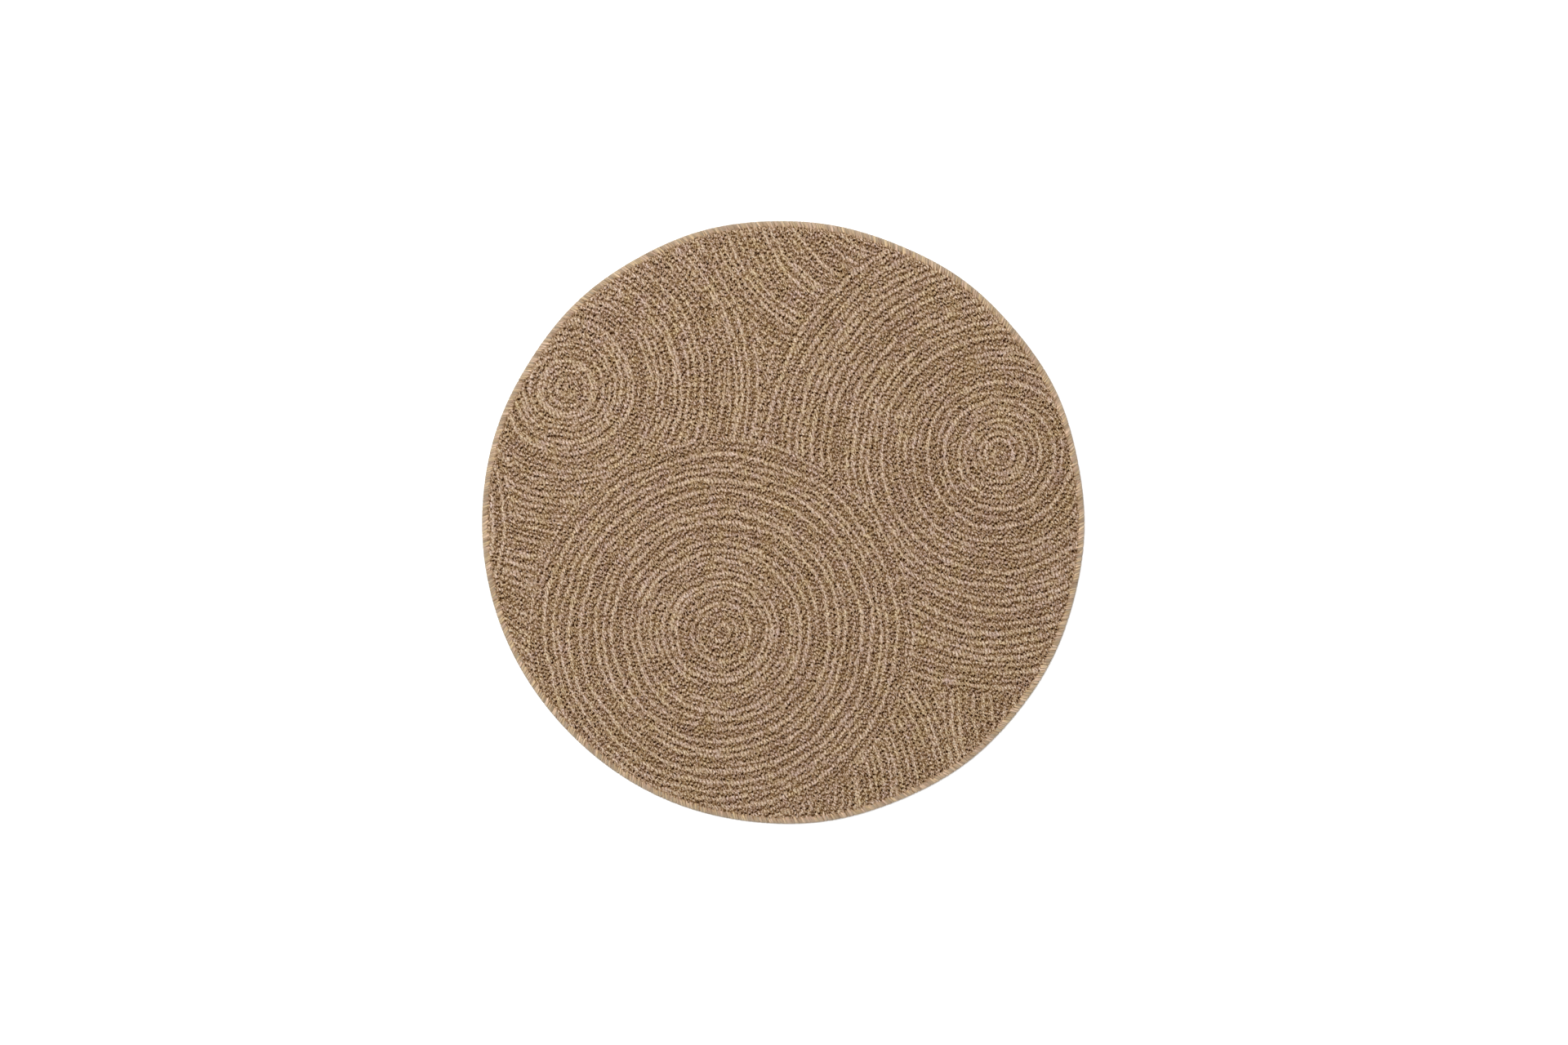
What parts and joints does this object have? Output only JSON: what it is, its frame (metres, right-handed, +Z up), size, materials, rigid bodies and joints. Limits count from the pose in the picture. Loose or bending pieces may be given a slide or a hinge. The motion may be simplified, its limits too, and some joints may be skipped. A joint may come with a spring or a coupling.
{
  "type": "wilton rug",
  "caption": "Round flat-woven rug in heathered brown and tan yarn, with low raised rows in overlapping sets of concentric rings and a sewn tan yarn edge.",
  "frame": {"origin": "centre of the underside, on the floor that the rug lies on", "axes": "+Z up, out of the face of the rug; +X to the right and +Y away, seen from above with the front set of rings at the lower left"},
  "size_m": [1.1994, 1.2004, 0.0062],
  "materials": {
    "woven_cloth": "heathered brown, dark brown and cream sisal-look yarn, flat-woven with raised rows",
    "edge_yarn": "tan yarn sewn over and over round the cut edge"
  },
  "bodies": {
    "root": {"woven_field": "woven_cloth", "serged_edge": "edge_yarn"}
  },
  "joints": []
}
